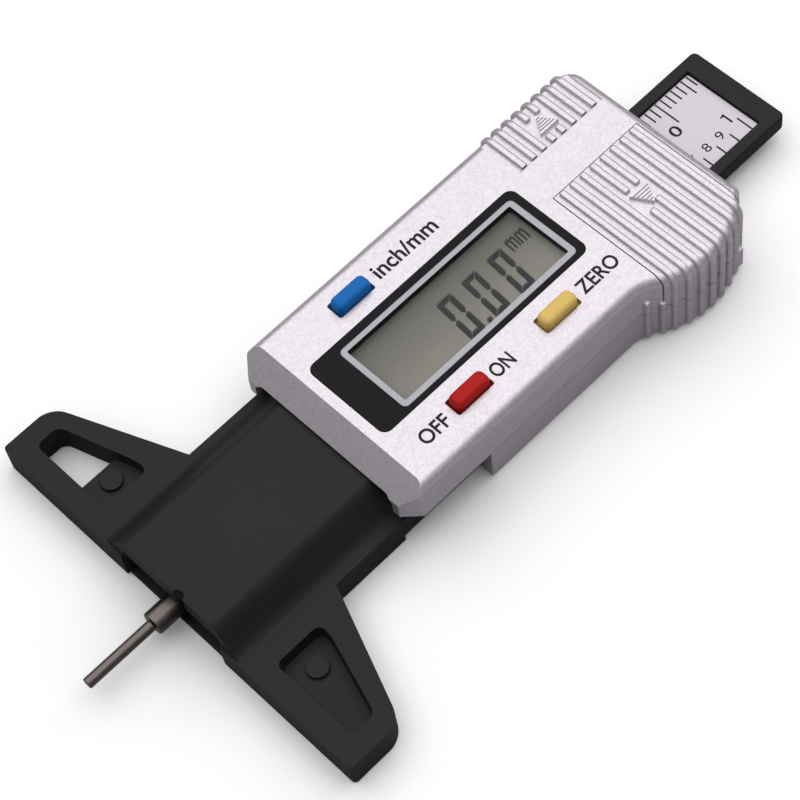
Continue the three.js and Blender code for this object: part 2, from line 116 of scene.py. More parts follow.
# The board is white to the eye, but throws less light back up, as one with black flags beside it does.
white_board = bpy.data.materials.new("white_board")
white_board.use_nodes = True
tree = white_board.node_tree
tree.nodes.clear()
seen = node(tree, "ShaderNodeBsdfDiffuse", Color=linear("#fcfbfc"))
flagged = node(tree, "ShaderNodeBsdfDiffuse", Color=linear("#a3a1a4"))
camera_ray = node(tree, "ShaderNodeLightPath").outputs["Is Camera Ray"]
board = node(tree, "ShaderNodeMixShader", _0=camera_ray, _1=flagged.outputs["BSDF"], _2=seen.outputs["BSDF"])
node(tree, "ShaderNodeOutputMaterial", Surface=board.outputs["Shader"])
table.data.materials.append(white_board)


# ------------------------------------------------------------------ foot and neck
# One black ABS moulding: two wings that stand on the tread blocks, and a long neck whose raised middle
# covers the needle's guide. The wings carry lightening pockets, and the left one is open at its end.
WING_THICK = 4.5
WING_END = 7.96
WING_ROOT = 15.17
NECK_SIDE = 13.1
POCKET_FLOOR = 2.6
HOLE_START = 20.6
NOTCH_SIDE = 8.8
NOTCH_DEPTH = 0.4
DOME_FOOT = 12.2
DOME_DRAFT = 4.9
NEEDLE_LEVEL = 3.1
BORE_RADIUS = 1.85


def span(name):
    """Low and high corners of a CAD node, in millimetres from the foot's face."""
    low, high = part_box(name)
    return [[1000 * (v.x - FACE_X), 1000 * v.y, 1000 * v.z] for v in (low, high)]


def slab(name, low, high):
    """A rectangular blank between two corners."""
    bpy.ops.object.select_all(action="DESELECT")
    middle = [(a + b) / 2 for a, b in zip(low, high)]
    bpy.ops.mesh.primitive_cube_add(size=1, location=middle, scale=[b - a for a, b in zip(low, high)])
    bpy.ops.object.transform_apply(location=True, rotation=True, scale=True)
    bpy.context.object.name = name
    return bpy.context.object


def pin(name, radius, start, end, sides=48):
    """A round blank between the middles of its two ends, which lie along X or Z."""
    bpy.ops.object.select_all(action="DESELECT")
    along_x = abs(end[0] - start[0]) > 1e-6
    bpy.ops.mesh.primitive_cylinder_add(
        vertices=sides,
        radius=radius,
        depth=(Vector(end) - Vector(start)).length,
        location=(Vector(start) + Vector(end)) / 2,
        rotation=(0, math.pi / 2 if along_x else 0, 0),
    )
    bpy.ops.object.transform_apply(location=True, rotation=True, scale=True)
    bpy.context.object.name = name
    return bpy.context.object


def pick(piece, kind, test):
    """Edit mode, with only the faces, edges or corners that pass the test selected."""
    bpy.ops.object.select_all(action="DESELECT")
    bpy.context.view_layer.objects.active = piece
    piece.select_set(True)
    bpy.ops.object.mode_set(mode="EDIT")
    bpy.ops.mesh.select_mode(type=kind)
    bpy.ops.mesh.select_all(action="DESELECT")
    mesh = bmesh.from_edit_mesh(piece.data)
    for part in {"VERT": mesh.verts, "EDGE": mesh.edges, "FACE": mesh.faces}[kind]:
        if test(part):
            part.select_set(True)
    bmesh.update_edit_mesh(piece.data)


def shape(piece, kind, test, operator, **how):
    """One edit-mode operator on what passes the test."""
    pick(piece, kind, test)
    operator(**how)
    bpy.ops.object.mode_set(mode="OBJECT")


def slice_at(piece, **place):
    """Cuts the faces along a plane, such as x=15."""
    axis = {"x": (1, 0, 0), "y": (0, 1, 0), "z": (0, 0, 1)}[next(iter(place))]
    at = Vector(axis) * next(iter(place.values()))
    shape(piece, "FACE", lambda face: True, bpy.ops.mesh.bisect, plane_co=at, plane_no=axis, threshold=1e-5)


def middle(edge):
    return (edge.verts[0].co + edge.verts[1].co) / 2


def upright(edge):
    run = edge.verts[1].co - edge.verts[0].co
    return abs(run.z) > 0.99 * run.length


def apply_last(piece):
    bpy.context.view_layer.objects.active = piece
    bpy.ops.object.modifier_apply(modifier=piece.modifiers[-1].name)


def combine(piece, tool, operation):
    boolean = piece.modifiers.new("combine", "BOOLEAN")
    boolean.operation = operation
    boolean.object = tool
    boolean.solver = "EXACT"
    apply_last(piece)
    bpy.data.objects.remove(tool)


def soften(piece, width, sharper_than=40, segments=3):
    """Breaks the edges that are sharper than an angle, as a mould's radius does."""
    bevel = piece.modifiers.new("edge radius", "BEVEL")
    bevel.width = width
    bevel.segments = segments
    bevel.limit_method = "ANGLE"
    bevel.angle_limit = math.radians(sharper_than)
    apply_last(piece)


def settle(piece, material, body, slot, *stands_for):
    """Finishes a piece: smooth shading, real size in metres, its place, its material and its body."""
    bpy.ops.object.select_all(action="DESELECT")
    bpy.context.view_layer.objects.active = piece
    piece.select_set(True)
    bpy.ops.object.shade_smooth_by_angle(angle=math.radians(32))
    piece.modifiers.new("even normals", "WEIGHTED_NORMAL").keep_sharp = True
    apply_last(piece)
    piece.scale = (0.001, 0.001, 0.001)
    piece.location = (FACE_X, 0, 0)
    bpy.ops.object.transform_apply(location=True, rotation=True, scale=True)
    piece.data.materials.clear()
    piece.data.materials.append(material)
    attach(piece, body)
    if stands_for:
        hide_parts(*stands_for)
    return piece


def new_material(name):
    """An empty node material: gives its node tree, its shader and its object coordinates."""
    material = bpy.data.materials.new(name)
    material.use_nodes = True
    tree = material.node_tree
    return material, tree, tree.nodes["Principled BSDF"], node(tree, "ShaderNodeTexCoord").outputs["Object"]


# Injection-moulded ABS from a spark-eroded mould: near-black, satin, with a fine even grain that
# breaks up the highlights. The real grain is about 0.05 mm; it is drawn at 0.2 mm so that it shows.
black_abs, tree, shader, place = new_material("black_moulded_abs")
grain = node(tree, "ShaderNodeTexNoise", Vector=place, Scale=1 / 0.0002, Detail=2.0, Roughness=0.6)
cloud = node(tree, "ShaderNodeTexNoise", Vector=place, Scale=1 / 0.012, Detail=3.0)
tint = node(tree, "ShaderNodeValToRGB", Fac=cloud.outputs["Fac"])
tint.color_ramp.elements[0].color = linear("#121115")
tint.color_ramp.elements[1].color = linear("#19181c")
rough = node(tree, "ShaderNodeMapRange", Value=grain.outputs["Fac"], To_Min=0.5, To_Max=0.68)
relief = node(tree, "ShaderNodeBump", Height=grain.outputs["Fac"], Strength=0.5, Distance=0.00003)
tree.links.new(tint.outputs["Color"], shader.inputs["Base Color"])
tree.links.new(rough.outputs["Result"], shader.inputs["Roughness"])
tree.links.new(relief.outputs["Normal"], shader.inputs["Normal"])
shader.inputs["IOR"].default_value = 1.52
shader.inputs["Specular IOR Level"].default_value = 0.25

(_, _, _), (NECK_END, WING_TIP, DOME_TOP) = span("foot_and_neck")
foot = slab("foot_and_neck_moulding", (0, -NECK_SIDE, 0), (NECK_END, NECK_SIDE, WING_THICK))
slice_at(foot, x=NOTCH_DEPTH)
slice_at(foot, x=WING_ROOT)
for side in (1, -1):
    slice_at(foot, y=DOME_FOOT * side)
for side in (1, -1):
    shape(
        foot, "FACE",
        lambda face: face.normal.y * side > 0.9 and face.calc_center_median().x < WING_ROOT,
        bpy.ops.mesh.extrude_region_move,
        TRANSFORM_OT_translate={"value": (0, (WING_TIP - NECK_SIDE) * side, 0)},
    )
    shape(
        foot, "VERT",
        lambda corner: corner.co.y * side > WING_TIP - 0.1 and corner.co.x > WING_ROOT - 0.1,
        bpy.ops.transform.translate, value=(WING_END - WING_ROOT, 0, 0),
    )

# The dome rises from the flange in a smooth ramp.
pick(foot, "FACE", lambda face: (
    face.normal.z > 0.9
    and abs(face.calc_center_median().y) < DOME_FOOT
    and face.calc_center_median().x > NOTCH_DEPTH
))
RAMP_STEPS = 14
ramp = [step / RAMP_STEPS for step in range(RAMP_STEPS + 1)]
widths = [DOME_FOOT - DOME_DRAFT * t for t in ramp]
heights = [(DOME_TOP - WING_THICK) * (0.5 - 0.5 * math.cos(math.pi * t)) for t in ramp]
for step in range(1, RAMP_STEPS + 1):
    rise = heights[step] - heights[step - 1]
    bpy.ops.mesh.extrude_region_move(TRANSFORM_OT_translate={"value": (0, 0, rise)})
    bpy.ops.transform.resize(value=(1, widths[step] / widths[step - 1], 1), center_override=(0, 0, 0))
bpy.ops.object.mode_set(mode="OBJECT")
shape(foot, "FACE", lambda face: True, bpy.ops.mesh.dissolve_limited, angle_limit=0.01)

for front, radius in ((True, 0.6), (False, 2.2)):
    shape(
        foot, "EDGE",
        lambda edge: upright(edge) and abs(middle(edge).y) > WING_TIP - 0.1 and (middle(edge).x < 1) == front,
        bpy.ops.mesh.bevel, offset=radius, segments=8, affect="EDGES", clamp_overlap=False,
    )


def pocket(side, floor, draft):
    """The cutter for a wing's pocket: a rounded triangle that narrows downwards."""
    tool = slab("pocket", (2.9, min(15 * side, 17 * side), floor), (10.4, max(15 * side, 17 * side), 7))
    shape(
        tool, "FACE", lambda face: face.normal.y * side > 0.9,
        bpy.ops.mesh.extrude_region_move, TRANSFORM_OT_translate={"value": (0, 11.8 * side, 0)},
    )
    shape(
        tool, "VERT", lambda corner: corner.co.y * side > 28 and corner.co.x > 5,
        bpy.ops.transform.translate, value=(-3.7, 0, 0),
    )
    shape(
        tool, "EDGE", upright,
        bpy.ops.mesh.bevel, offset=1.3, segments=6, affect="EDGES", clamp_overlap=True,
    )
    shape(
        tool, "FACE", lambda face: face.normal.z < -0.9,
        bpy.ops.transform.resize, value=(draft, draft, 1), center_override=(6.2, 20.8 * side, floor),
    )
    return tool


for side in (1, -1):
    combine(foot, pocket(side, POCKET_FLOOR, 0.9), "DIFFERENCE")
hole = pocket(1, -3, 0.93)
combine(hole, slab("beyond", (0, HOLE_START, -4), (20, 40, 8)), "INTERSECT")
combine(hole, slab("below", (0, 0, -4), (20, 40, POCKET_FLOOR + 0.05)), "INTERSECT")
combine(foot, hole, "DIFFERENCE")
soften(foot, 0.45, segments=4)

# Cuts that stay crisp: the notch between the wings, the slot and bore for the needle holder and the
# nick over it, the step that lets the slider's back cover pass under the neck, and the seats of the
# back plate and the ruler.
combine(foot, slab("notch", (-2, -NOTCH_SIDE, -1), (NOTCH_DEPTH, NOTCH_SIDE, 12)), "DIFFERENCE")
combine(foot, slab("slot", (-1, -NOTCH_SIDE + 0.3, 0.8), (3.0, NOTCH_SIDE - 0.3, 5.85)), "DIFFERENCE")
combine(foot, pin("bore", BORE_RADIUS, (-1, 0, NEEDLE_LEVEL), (32, 0, NEEDLE_LEVEL)), "DIFFERENCE")
combine(foot, pin("sight_notch", 0.85, (0.3, -2.05, 5.5), (0.3, -2.05, 12)), "DIFFERENCE")
combine(foot, slab("step", (26.3, -20, -2), (50, 20, 1.1)), "DIFFERENCE")
combine(foot, slab("plate_seat", (3.3, -19.9, -1), (10.0, 19.9, 0.95)), "DIFFERENCE")
combine(foot, slab("stem_seat", (5.9, -9.1, -1), (24.6, 9.1, 0.95)), "DIFFERENCE")
combine(foot, slab("ruler_socket", (31.2, -8.05, 1.85), (50, 8.05, 5.05)), "DIFFERENCE")
soften(foot, 0.1, sharper_than=60, segments=2)
settle(foot, black_abs, "base", "black_plastic", "foot_and_neck")

# ------------------------------------------------------------------ upper housing
# The upper half of the slider: ABS, moulded, then lacquered silver. Its rear swells into a drum that
# the thumb pushes, and a pad with raised ribs on the other edge gives the finger its hold.
HOUSING_TOP = 12.06
PARTING = 6.2
HALF_GAP = 0.05
WALL_AT_TOP = 14.9
WALL_AT_PARTING = 15.25
HOUSING_FRONT = 26.1
HOUSING_REAR = 85.6
DRUM_X = 75.7
DRUM_Y = -4.8
DRUM_RADIUS = 13.6
DRUM_WALL = 1.3
RIB_PITCH = 1.83
RIB_WIDTH = 1.0
RIB_STANDS = 0.5
RIB_DEEP = 1.4
RIB_EDGE = 0.32
COVER_RIBS = [70.2 + RIB_PITCH * i for i in range(8)]
SHORT_RIBS = {67.0: (8.5, -16.0), 68.8: (7.5, -17.0)}
PAD_RIBS = [70.0 + RIB_PITCH * i for i in range(8)]
PAD_FRONT = 68.6
PAD_START = 7.7
COVER_START = 69.0
COVER_END = 84.2
COVER_EDGE = 1.9


def trim(piece, at, normal):
    """Cuts away what lies beyond a plane and closes the cut."""
    shape(
        piece, "FACE", lambda face: True, bpy.ops.mesh.bisect,
        plane_co=at, plane_no=normal, use_fill=True, clear_outer=True, threshold=1e-5,
    )
    shape(piece, "FACE", lambda face: True, bpy.ops.mesh.normals_make_consistent)


def copy_of(piece, name):
    """A copy with a mesh of its own."""
    bpy.ops.object.select_all(action="DESELECT")
    bpy.context.view_layer.objects.active = piece
    piece.select_set(True)
    bpy.ops.object.duplicate(linked=False)
    bpy.context.object.name = name
    return bpy.context.object


def join(name, pieces):
    bpy.ops.object.select_all(action="DESELECT")
    for piece in pieces:
        piece.select_set(True)
    bpy.context.view_layer.objects.active = pieces[0]
    bpy.ops.object.join()
    pieces[0].name = name
    return pieces[0]


def housing_form(name, front, bottom, top, half_at_bottom, half_at_top):
    """The outer form of one half of the slider: a drafted box with the thumb drum on its -Y side."""
    spare = 0.5
    flare = (half_at_top - half_at_bottom) / (top - bottom) * spare
    ends = {bottom - spare: half_at_bottom - flare, top + spare: half_at_top + flare}
    form = slab(name, (front, -1, bottom - spare), (HOUSING_REAR, 1, top + spare))
    for level, half in ends.items():
        shape(
            form, "VERT", lambda corner: abs(corner.co.z - level) < 0.01,
            bpy.ops.transform.resize, value=(1, half, 1), center_override=(0, 0, 0),
        )
    shape(
        form, "EDGE", lambda edge: upright(edge) and middle(edge).x > HOUSING_REAR - 0.1,
        bpy.ops.mesh.bevel, offset=2.5, segments=6, affect="EDGES",
    )
    drum = pin("drum", DRUM_RADIUS, (DRUM_X, DRUM_Y, bottom - 1), (DRUM_X, DRUM_Y, top + 1), sides=128)
    trim(drum, (HOUSING_REAR, 0, 0), (1, 0, 0))
    combine(form, drum, "UNION")
    trim(form, (0, 0, top), (0, 0, 1))
    trim(form, (0, 0, bottom), (0, 0, -1))
    half = (half_at_bottom + half_at_top) / 2
    valley_x = DRUM_X - math.sqrt(DRUM_RADIUS ** 2 - (half + DRUM_Y) ** 2)
    for start, end, beyond in (
        (valley_x - 2.0, valley_x + 1.9, -half - 0.05),
        (HOUSING_REAR - 1.3, HOUSING_REAR - 0.01, -13),
    ):
        shape(
            form, "EDGE",
            lambda edge: upright(edge) and start < middle(edge).x < end and middle(edge).y < beyond,
            bpy.ops.mesh.dissolve_edges, use_verts=True,
        )
    shape(
        form, "EDGE",
        lambda edge: upright(edge) and abs(middle(edge).x - valley_x) < 0.5 and middle(edge).y < -14,
        bpy.ops.mesh.bevel, offset=1.6, segments=5, affect="EDGES",
    )
    return form


def round_rim(form, level, radius, segments):
    """Rounds the outer edges at one level."""
    shape(
        form, "EDGE",
        lambda edge: all(abs(corner.co.z - level) < 0.01 for corner in edge.verts)
        and any(abs(face.normal.z) < 0.9 for face in edge.link_faces),
        bpy.ops.mesh.bevel, offset=radius, segments=segments, affect="EDGES",
    )


def rib_over_edge(x, start, side, crest, foot, facing):
    """One raised rib: along the top from start, round the edge and down the side that faces +Y or -Y."""
    turn = 2.1
    bend = side - turn * facing
    low, high = sorted((start, bend))
    bar = slab("rib", (x - RIB_WIDTH / 2, low, crest - RIB_DEEP), (x + RIB_WIDTH / 2, high, crest))
    shape(
        bar, "EDGE",
        lambda edge: middle(edge).z > crest - 0.9 and abs(middle(edge).y - bend) > 0.01
        and max(c.co.z for c in edge.verts) > crest - 0.01,
        bpy.ops.mesh.bevel, offset=RIB_EDGE, segments=3, affect="EDGES",
    )
    pick(bar, "FACE", lambda face: (
        face.normal.y * facing > 0.9 and abs(face.calc_center_median().y - bend) < 0.01
    ))
    bpy.ops.mesh.spin(
        steps=8, angle=facing * math.pi / 2, center=(x, bend, crest - turn), axis=(1, 0, 0),
    )
    bpy.ops.object.mode_set(mode="OBJECT")
    shape(
        bar, "FACE", lambda face: face.normal.z < -0.9 and face.calc_center_median().z < crest - turn + 0.01,
        bpy.ops.mesh.extrude_region_move, TRANSFORM_OT_translate={"value": (0, 0, foot - crest + turn)},
    )
    shape(bar, "FACE", lambda face: True, bpy.ops.mesh.normals_make_consistent)
    return bar


def rib_along_top(x, start, end, crest):
    """A short stretch of rib that stays on top."""
    low, high = sorted((start, end))
    bar = slab("rib", (x - RIB_WIDTH / 2, low, crest - RIB_DEEP), (x + RIB_WIDTH / 2, high, crest))
    shape(
        bar, "EDGE", lambda edge: max(c.co.z for c in edge.verts) > crest - 0.01,
        bpy.ops.mesh.bevel, offset=RIB_EDGE, segments=3, affect="EDGES",
    )
    return bar


def rib_up_side(x, side, facing, bottom, top):
    """A rib on a side wall only, with rounded ends."""
    low, high = sorted((side, side - 1.5 * facing))
    bar = slab("rib", (x - RIB_WIDTH / 2, low, bottom), (x + RIB_WIDTH / 2, high, top))
    shape(
        bar, "EDGE", lambda edge: max(c.co.y * facing for c in edge.verts) > side * facing - 0.01,
        bpy.ops.mesh.bevel, offset=RIB_EDGE, segments=3, affect="EDGES",
    )
    return bar


def hatched_arrow(x, base, apex, crest):
    """A raised triangle that points along Y, with grooves across it."""
    half_width = 1.65
    groove_half = 0.08
    low, high = sorted((base, apex))
    arrow = slab("arrow", (x - half_width, low, crest - 1.2), (x + half_width, high, crest))
    shape(
        arrow, "VERT", lambda corner: abs(corner.co.y - apex) < 0.01,
        bpy.ops.transform.resize, value=(0.03, 1, 1), center_override=(x, apex, crest),
    )
    for groove in range(1, 6):
        y = base + (apex - base) * groove / 6
        cut = slab("groove", (x - 3, y - groove_half, crest - 0.3), (x + 3, y + groove_half, crest + 1))
        combine(arrow, cut, "DIFFERENCE")
    return arrow


def drum_side(x):
    """The -Y edge of the drum at x."""
    return DRUM_Y - math.sqrt(DRUM_RADIUS ** 2 - (x - DRUM_X) ** 2)


# Silver lacquer on ABS: a clear binder full of fine aluminium flake, so satin and bright where it
# faces the light and grey where it doesn't. The flake is about 0.03 mm; it is drawn at 0.25 mm.
silver_lacquer, tree, shader, place = new_material("silver_lacquered_abs")
flake = node(tree, "ShaderNodeTexVoronoi", Vector=place, Scale=1 / 0.00025)
sparkle = node(tree, "ShaderNodeSeparateColor", Color=flake.outputs["Color"])
orange_peel = node(tree, "ShaderNodeTexNoise", Vector=place, Scale=1 / 0.0012, Detail=2.0)
tint = node(tree, "ShaderNodeValToRGB", Fac=sparkle.outputs["Red"])
tint.color_ramp.elements[0].color = linear("#c4bec4")
tint.color_ramp.elements[1].color = linear("#d2ccd2")
rough = node(tree, "ShaderNodeMapRange", Value=sparkle.outputs["Green"], To_Min=0.30, To_Max=0.42)
relief = node(tree, "ShaderNodeBump", Height=orange_peel.outputs["Fac"], Strength=0.2, Distance=0.00004)
flake_relief = node(
    tree, "ShaderNodeBump", Height=sparkle.outputs["Blue"], Strength=0.15, Distance=0.00002,
    Normal=relief.outputs["Normal"],
)
tree.links.new(tint.outputs["Color"], shader.inputs["Base Color"])
tree.links.new(rough.outputs["Result"], shader.inputs["Roughness"])
tree.links.new(flake_relief.outputs["Normal"], shader.inputs["Normal"])
shader.inputs["Metallic"].default_value = 0.7

upper = housing_form(
    "upper_housing_shell", HOUSING_FRONT, PARTING - 0.5, HOUSING_TOP, WALL_AT_PARTING, WALL_AT_TOP
)
round_rim(upper, HOUSING_TOP, 1.5, 6)
for side in (1, -1):
    trim(upper, (HOUSING_FRONT, NECK_SIDE * side, 0), (-2.0, 1.6 * side, 0))
trim(upper, (26.4, 0, 9.1), (-2.96, 0, 1.6))
soften(upper, 0.28, sharper_than=28, segments=3)
cover = copy_of(upper, "battery_cover_shell")

cover_seat = slab("cover_seat", (COVER_START - 0.2, -25, 4), (COVER_END + 0.08, COVER_EDGE + 0.06, 14))
combine(upper, cover_seat, "DIFFERENCE")

# The finger pad is let into the top, and its ribs run over the edge and down the side.
PAD_CREST = HOUSING_TOP + 0.3
PAD_SIDE = WALL_AT_TOP + 0.65
combine(upper, slab("pad", (PAD_FRONT, PAD_START, HOUSING_TOP - 0.25), (84.2, 20, 14)), "DIFFERENCE")
grip = [hatched_arrow(76.5, 9.7, 12.1, PAD_CREST)]
for i, x in enumerate(PAD_RIBS):
    if i in (3, 4):
        grip.append(rib_along_top(x, PAD_START, 9.3, PAD_CREST))
        grip.append(rib_over_edge(x, 12.4, PAD_SIDE, PAD_CREST, 5.5, 1))
    else:
        grip.append(rib_over_edge(x, PAD_START, PAD_SIDE, PAD_CREST, 5.5, 1))
for x, (top, side) in SHORT_RIBS.items():
    grip.append(rib_up_side(x, side, -1, 5.5, top))
combine(upper, join("grip", grip), "UNION")
pad_line = slab("pad_line", (PAD_FRONT, PAD_START, HOUSING_TOP - 0.6), (83.6, PAD_START + 0.18, 14))
combine(upper, pad_line, "DIFFERENCE")
combine(upper, slab("below_parting", (20, -30, 0), (100, 30, PARTING + HALF_GAP)), "DIFFERENCE")

# Inside it is hollow. The openings are for the front arch, the window, the buttons and the battery cover.
WINDOW = ((30.8, -6.65), (66.5, 7.1))
BUTTON_PLACES = {"blue": (41.8, 10.45), "red": (41.8, -10.0), "yellow": (57.1, -10.0)}
HOLE_LENGTH = 6.1
HOLE_WIDTH = 2.65


def rounded_slab(name, low, high, radius, segments=6):
    """A slab whose upright edges are rounded."""
    piece = slab(name, low, high)
    shape(piece, "EDGE", upright, bpy.ops.mesh.bevel, offset=radius, segments=segments, affect="EDGES")
    return piece


def arch(name, side, top, radius, start, end):
    """A bar along X with rounded upper edges: the opening over the neck's dome, or what lies in it."""
    bar = slab(name, (start, -side, 4), (end, side, top))
    shape(
        bar, "EDGE",
        lambda edge: middle(edge).z > top - 0.1 and abs(middle(edge).y) > side - 0.1,
        bpy.ops.mesh.bevel, offset=radius, segments=6, affect="EDGES",
    )
    return bar


combine(upper, slab("cavity", (28.4, -13.4, 4), (84.2, 13.4, 10.9)), "DIFFERENCE")
combine(upper, arch("arch", 12.0, 9.1, 1.3, 20, 27.35), "DIFFERENCE")
combine(upper, arch("lip_seat", 12.5, 9.6, 1.5, 27.3, 30), "DIFFERENCE")
combine(upper, rounded_slab("window", (*WINDOW[0], 10), (*WINDOW[1], 14), 1.25), "DIFFERENCE")
for x, y in BUTTON_PLACES.values():
    low = (x - HOLE_LENGTH / 2, y - HOLE_WIDTH / 2, 10)
    high = (x + HOLE_LENGTH / 2, y + HOLE_WIDTH / 2, 14)
    combine(upper, rounded_slab("hole", low, high, 0.25, 2), "DIFFERENCE")
shape(upper, "VERT", lambda corner: True, bpy.ops.mesh.remove_doubles, threshold=0.046)
settle(upper, silver_lacquer, "slider", "silver_plastic", "upper_housing")

# ------------------------------------------------------------------ battery cover
# The lid of the cell's bay is moulded and lacquered with the housing. It carries the thumb's ribs and
# slides off outwards; two tongues under its straight edge hook below the housing's top.
COVER_SUNK = 0.1
COVER_CREST = HOUSING_TOP - COVER_SUNK + RIB_STANDS
COVER_FOOT = 6.3

combine(cover, slab("lid", (COVER_START, -25, 4), (COVER_END, COVER_EDGE, 14)), "INTERSECT")
shape(
    cover, "VERT", lambda corner: corner.co.z > HOUSING_TOP - 1.5,
    bpy.ops.transform.translate, value=(0, 0, -COVER_SUNK),
)
grip = [hatched_arrow(76.8, -5.2, -8.0, COVER_CREST)]
for i, x in enumerate(COVER_RIBS):
    side = drum_side(x) - RIB_STANDS
    if i in (3, 4):
        grip.append(rib_along_top(x, COVER_EDGE - 0.1, -4.6, COVER_CREST))
        grip.append(rib_over_edge(x, -8.4 if i == 3 else -7.6, side, COVER_CREST, 5.5, -1))
    else:
        grip.append(rib_over_edge(x, COVER_EDGE - 0.1, side, COVER_CREST, 5.5, -1))
combine(cover, join("grip", grip), "UNION")
combine(cover, slab("below_lid", (20, -30, 0), (100, 30, COVER_FOOT)), "DIFFERENCE")
hollow = pin("hollow", DRUM_RADIUS - DRUM_WALL, (DRUM_X, DRUM_Y, 4), (DRUM_X, DRUM_Y, 10.7), sides=64)
combine(hollow, slab("between", (COVER_START - 1, -25, 0), (COVER_END + 1, 5, 20)), "INTERSECT")
combine(cover, hollow, "DIFFERENCE")
for start, end in ((69.2, 70.9), (83.1, 84.1)):
    combine(cover, slab("tongue_root", (start, 0.4, 10.2), (end, 1.75, 11.2)), "UNION")
    combine(cover, slab("tongue", (start, 1.0, 10.2), (end, 3.0, 10.65)), "UNION")
settle(cover, silver_lacquer, "battery_door", "silver_plastic", "battery_cover")

# ------------------------------------------------------------------ lower housing
# The lower half of the slider, the same lacquered ABS, is a tray that starts behind the neck. It holds
# the boards' screws and the cell, and its rear wall has the slot that the ruler runs through.
SKIRT_FRONT = 39.6
FLOOR = 0.8
COVER_SCREWS = [(59.5, 10.6), (59.5, -10.6), (81, 10.6), (81, -10.6)]

lower = housing_form("lower_housing_shell", SKIRT_FRONT, 0, PARTING + 0.5, 15.0, WALL_AT_PARTING)
round_rim(lower, 0, 0.6, 4)
soften(lower, 0.2, sharper_than=40, segments=2)
grip = []
for x, (_, side) in SHORT_RIBS.items():
    grip.append(rib_up_side(x, side, -1, 0.55, PARTING + 1))
for x in COVER_RIBS:
    grip.append(rib_up_side(x, drum_side(x) - RIB_STANDS, -1, 0.55, PARTING + 1))
for x in PAD_RIBS:
    grip.append(rib_up_side(x, PAD_SIDE, 1, 0.55, PARTING + 1))
combine(lower, join("grip", grip), "UNION")
combine(lower, slab("above_parting", (20, -30, PARTING - HALF_GAP), (100, 30, 12)), "DIFFERENCE")
combine(lower, slab("tray", (30, -13.4, FLOOR), (84.3, 13.4, 10)), "DIFFERENCE")
bay = pin("bay", DRUM_RADIUS - DRUM_WALL, (DRUM_X, DRUM_Y, 1.4), (DRUM_X, DRUM_Y, 10), sides=64)
combine(bay, slab("between", (70, -25, 0), (84.3, 0, 20)), "INTERSECT")
combine(lower, bay, "DIFFERENCE")
for x, y in COVER_SCREWS:
    wall = 14.2 if y > 0 else (-17.4 if x > 70 else -14.2)
    low, high = sorted((9.2 if y > 0 else -9.2, wall))
    combine(lower, slab("boss", (x - 1.8, low, 0.9), (x + 1.8, high, 4.4)), "UNION")
combine(lower, slab("ruler_slot", (84, -8.2, 1.8), (87, 8.2, 5.1)), "DIFFERENCE")
combine(lower, slab("cover_seat", (30, -12.75, -1), (83.8, 12.75, 0.9)), "DIFFERENCE")
for x, y in COVER_SCREWS:
    combine(lower, pin("screw_hole", 1.05, (x, y, 0.5), (x, y, 3.9), sides=24), "DIFFERENCE")
settle(lower, silver_lacquer, "slider", "silver_plastic", "lower_housing")

# ------------------------------------------------------------------ front lip
# A black arch pressed in behind the housing's front opening. It closes the gap over the neck's raised
# middle and keeps grit out of the slider.
lip = arch("front_lip", 12.45, 9.55, 1.45, 27.4, 28.3)
combine(lip, arch("inside", 10.8, 9.0, 2.3, 20, 30), "DIFFERENCE")
trim(lip, (0, 0, PARTING + 0.1), (0, 0, -1))
soften(lip, 0.12, sharper_than=60, segments=2)
settle(lip, black_abs, "slider", "black_plastic", "front_trim")

# ------------------------------------------------------------------ display window
# A gloss black frame is let in flush with the top. Inside it a silver-printed rim holds the clear
# acrylic window, a millimetre above the glass of the display.
RIM = ((35.1, -5.8), (65.3, 5.9))
OPENING = ((35.9, -5.0), (64.4, 5.15))

gloss_black, tree, shader, place = new_material("black_gloss_abs")
haze = node(tree, "ShaderNodeTexNoise", Vector=place, Scale=1 / 0.006, Detail=4.0)
rough = node(tree, "ShaderNodeMapRange", Value=haze.outputs["Fac"], To_Min=0.22, To_Max=0.36)
tint = node(tree, "ShaderNodeValToRGB", Fac=haze.outputs["Fac"])
tint.color_ramp.elements[0].color = linear("#0b0b0d")
tint.color_ramp.elements[1].color = linear("#121214")
tree.links.new(tint.outputs["Color"], shader.inputs["Base Color"])
tree.links.new(rough.outputs["Result"], shader.inputs["Roughness"])
shader.inputs["Specular IOR Level"].default_value = 0.1

frame_low, frame_high = (*WINDOW[0], 10.95), (*WINDOW[1], HOUSING_TOP - 0.02)
bezel = rounded_slab(
    "window_frame", [c + 0.1 for c in frame_low], [c - 0.1 for c in frame_high[:2]] + [frame_high[2]], 1.15
)
soften(bezel, 0.1, sharper_than=60, segments=2)
combine(bezel, rounded_slab("opening", (*RIM[0], 9), (*RIM[1], 14), 0.8), "DIFFERENCE")
settle(bezel, gloss_black, "slider", "window_black", "window_bezel")

# Silver ink over plastic: even, satin, a little darker than the lacquer.
silver_ink, tree, shader, place = new_material("silver_printed_rim")
grain = node(tree, "ShaderNodeTexNoise", Vector=place, Scale=1 / 0.0003, Detail=2.0)
tint = node(tree, "ShaderNodeValToRGB", Fac=grain.outputs["Fac"])
tint.color_ramp.elements[0].color = linear("#94939a")
tint.color_ramp.elements[1].color = linear("#a6a5ab")
tree.links.new(tint.outputs["Color"], shader.inputs["Base Color"])
shader.inputs["Roughness"].default_value = 0.4
shader.inputs["Metallic"].default_value = 0.5

